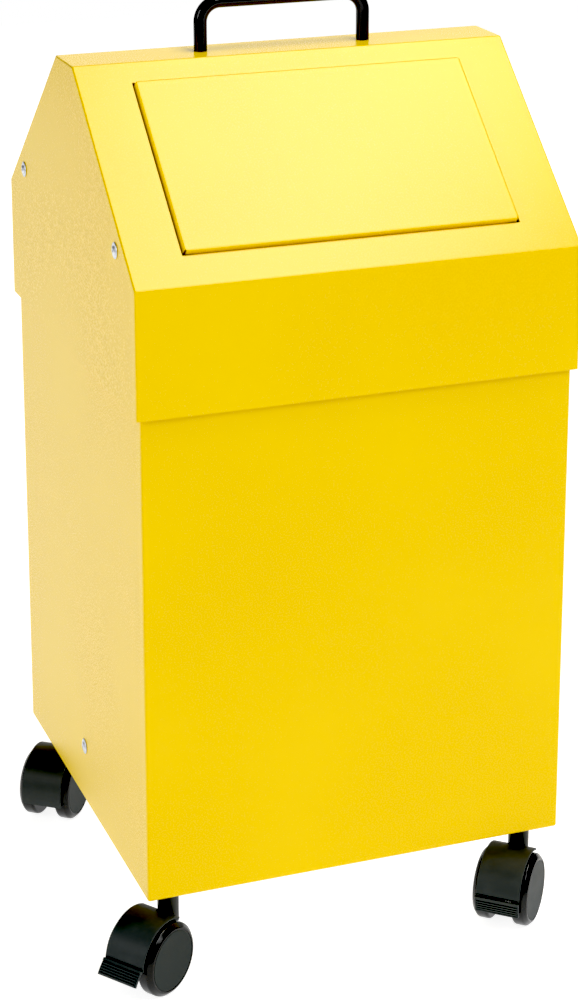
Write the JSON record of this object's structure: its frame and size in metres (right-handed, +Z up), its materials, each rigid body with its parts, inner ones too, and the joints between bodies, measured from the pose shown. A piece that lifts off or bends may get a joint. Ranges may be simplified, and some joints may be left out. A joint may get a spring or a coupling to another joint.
{
  "type": "mobile waste bin",
  "caption": "Yellow sheet-steel waste bin on hooded twin-wheel casters, with a lift-off gabled hood, a sprung push flap and a bow handle.",
  "frame": {"origin": "on the floor, under the middle of the body", "axes": "+Z up, front with the flap towards -Y, +X to the right seen from the front"},
  "size_m": [0.4054, 0.3866, 0.7138],
  "materials": {
    "yellow_paint": "yellow powder coat, semi-gloss, very fine orange peel",
    "black_enamel": "glossy black enamel on round bar",
    "black_nylon": "black moulded nylon, satin, polished at the wheel rims",
    "zinc_sheet": "galvanised sheet, soft grey with spangle",
    "bright_steel": "bright zinc-plated steel"
  },
  "bodies": {
    "body": {"body_shell": "yellow_paint", "base_pan": "zinc_sheet", "base_rivet_left": "bright_steel", "base_rivet_right": "bright_steel", "liner": "zinc_sheet", "bail_plate_left": "zinc_sheet", "bail_plate_right": "zinc_sheet", "caster_front_left_stem": "black_enamel", "caster_front_left_nut": "bright_steel", "caster_front_right_stem": "black_enamel", "caster_front_right_nut": "bright_steel", "caster_rear_left_stem": "black_enamel", "caster_rear_left_nut": "bright_steel", "caster_rear_right_stem": "black_enamel", "caster_rear_right_nut": "bright_steel"},
    "hood": {"hood_wrap": "yellow_paint", "hood_gable_left": "yellow_paint", "hood_gable_right": "yellow_paint", "hood_rest_left": "zinc_sheet", "hood_rest_right": "zinc_sheet", "gable_rivet_left_front": "bright_steel", "gable_rivet_left_rear": "bright_steel", "gable_rivet_right_front": "bright_steel", "gable_rivet_right_rear": "bright_steel", "hinge_rod": "bright_steel", "hinge_bracket_left": "zinc_sheet", "hinge_bracket_right": "zinc_sheet", "handle": "black_enamel", "handle_screw_left": "bright_steel", "handle_screw_right": "bright_steel"},
    "flap": {"flap": "yellow_paint", "flap_spring_left": "bright_steel", "flap_spring_right": "bright_steel"},
    "bail": {"bail": "bright_steel"},
    "caster_front_left": {"caster_front_left_housing": "black_nylon", "caster_front_left_axle": "bright_steel"},
    "wheel_front_left_a": {"caster_front_left_wheel_a": "black_nylon"},
    "wheel_front_left_b": {"caster_front_left_wheel_b": "black_nylon"},
    "brake_front_left": {"caster_front_left_brake": "black_nylon"},
    "caster_front_right": {"caster_front_right_housing": "black_nylon", "caster_front_right_axle": "bright_steel"},
    "wheel_front_right_a": {"caster_front_right_wheel_a": "black_nylon"},
    "wheel_front_right_b": {"caster_front_right_wheel_b": "black_nylon"},
    "brake_front_right": {"caster_front_right_brake": "black_nylon"},
    "caster_rear_left": {"caster_rear_left_housing": "black_nylon", "caster_rear_left_axle": "bright_steel"},
    "wheel_rear_left_a": {"caster_rear_left_wheel_a": "black_nylon"},
    "wheel_rear_left_b": {"caster_rear_left_wheel_b": "black_nylon"},
    "caster_rear_right": {"caster_rear_right_housing": "black_nylon", "caster_rear_right_axle": "bright_steel"},
    "wheel_rear_right_a": {"caster_rear_right_wheel_a": "black_nylon"},
    "wheel_rear_right_b": {"caster_rear_right_wheel_b": "black_nylon"}
  },
  "joints": [
    {"name": "hood_lift", "type": "slide", "parent": "body", "child": "hood", "axis": [0, 0, 1], "range_m": [0, 0.095]},
    {"name": "flap_swing", "type": "hinge", "parent": "hood", "child": "flap", "pos_m": [0, -0.03752, 0.64793], "axis": [1, 0, 0], "range_deg": [0, 55], "stiffness_Nm_per_rad": 0.3, "springref_deg": -68.75},
    {"name": "bail_swing", "type": "hinge", "parent": "body", "child": "bail", "pos_m": [0, 0, 0.40941], "axis": [1, 0, 0], "range_deg": [0, 147]},
    {"name": "swivel_front_left", "type": "hinge", "parent": "body", "child": "caster_front_left", "pos_m": [-0.144, -0.144, 0.06], "axis": [0, 0, 1], "continuous": true},
    {"name": "roll_front_left_a", "type": "hinge", "parent": "caster_front_left", "child": "wheel_front_left_a", "pos_m": [-0.16284, -0.15719, 0.028], "axis": [0.5736, -0.8192, 0], "continuous": true},
    {"name": "roll_front_left_b", "type": "hinge", "parent": "caster_front_left", "child": "wheel_front_left_b", "pos_m": [-0.16284, -0.15719, 0.028], "axis": [0.5736, -0.8192, 0], "continuous": true},
    {"name": "brake_press_front_left", "type": "hinge", "parent": "caster_front_left", "child": "brake_front_left", "pos_m": [-0.1875, -0.17446, 0.03223], "axis": [0.5736, -0.8192, 0], "range_deg": [0, 45]},
    {"name": "swivel_front_right", "type": "hinge", "parent": "body", "child": "caster_front_right", "pos_m": [0.144, -0.144, 0.06], "axis": [0, 0, 1], "continuous": true},
    {"name": "roll_front_right_a", "type": "hinge", "parent": "caster_front_right", "child": "wheel_front_right_a", "pos_m": [0.12861, -0.16109, 0.028], "axis": [0.7431, -0.6691, 0], "continuous": true},
    {"name": "roll_front_right_b", "type": "hinge", "parent": "caster_front_right", "child": "wheel_front_right_b", "pos_m": [0.12861, -0.16109, 0.028], "axis": [0.7431, -0.6691, 0], "continuous": true},
    {"name": "brake_press_front_right", "type": "hinge", "parent": "caster_front_right", "child": "brake_front_right", "pos_m": [0.10847, -0.18346, 0.03223], "axis": [0.7431, -0.6691, 0], "range_deg": [-45, 0]},
    {"name": "swivel_rear_left", "type": "hinge", "parent": "body", "child": "caster_rear_left", "pos_m": [-0.144, 0.144, 0.06], "axis": [0, 0, 1], "continuous": true},
    {"name": "roll_rear_left_a", "type": "hinge", "parent": "caster_rear_left", "child": "wheel_rear_left_a", "pos_m": [-0.15816, 0.12588, 0.028], "axis": [0.788, -0.6157, 0], "continuous": true},
    {"name": "roll_rear_left_b", "type": "hinge", "parent": "caster_rear_left", "child": "wheel_rear_left_b", "pos_m": [-0.15816, 0.12588, 0.028], "axis": [0.788, -0.6157, 0], "continuous": true},
    {"name": "swivel_rear_right", "type": "hinge", "parent": "body", "child": "caster_rear_right", "pos_m": [0.144, 0.144, 0.06], "axis": [0, 0, 1], "continuous": true},
    {"name": "roll_rear_right_a", "type": "hinge", "parent": "caster_rear_right", "child": "wheel_rear_right_a", "pos_m": [0.16307, 0.15686, 0.028], "axis": [-0.5592, 0.829, 0], "continuous": true},
    {"name": "roll_rear_right_b", "type": "hinge", "parent": "caster_rear_right", "child": "wheel_rear_right_b", "pos_m": [0.16307, 0.15686, 0.028], "axis": [-0.5592, 0.829, 0], "continuous": true}
  ]
}
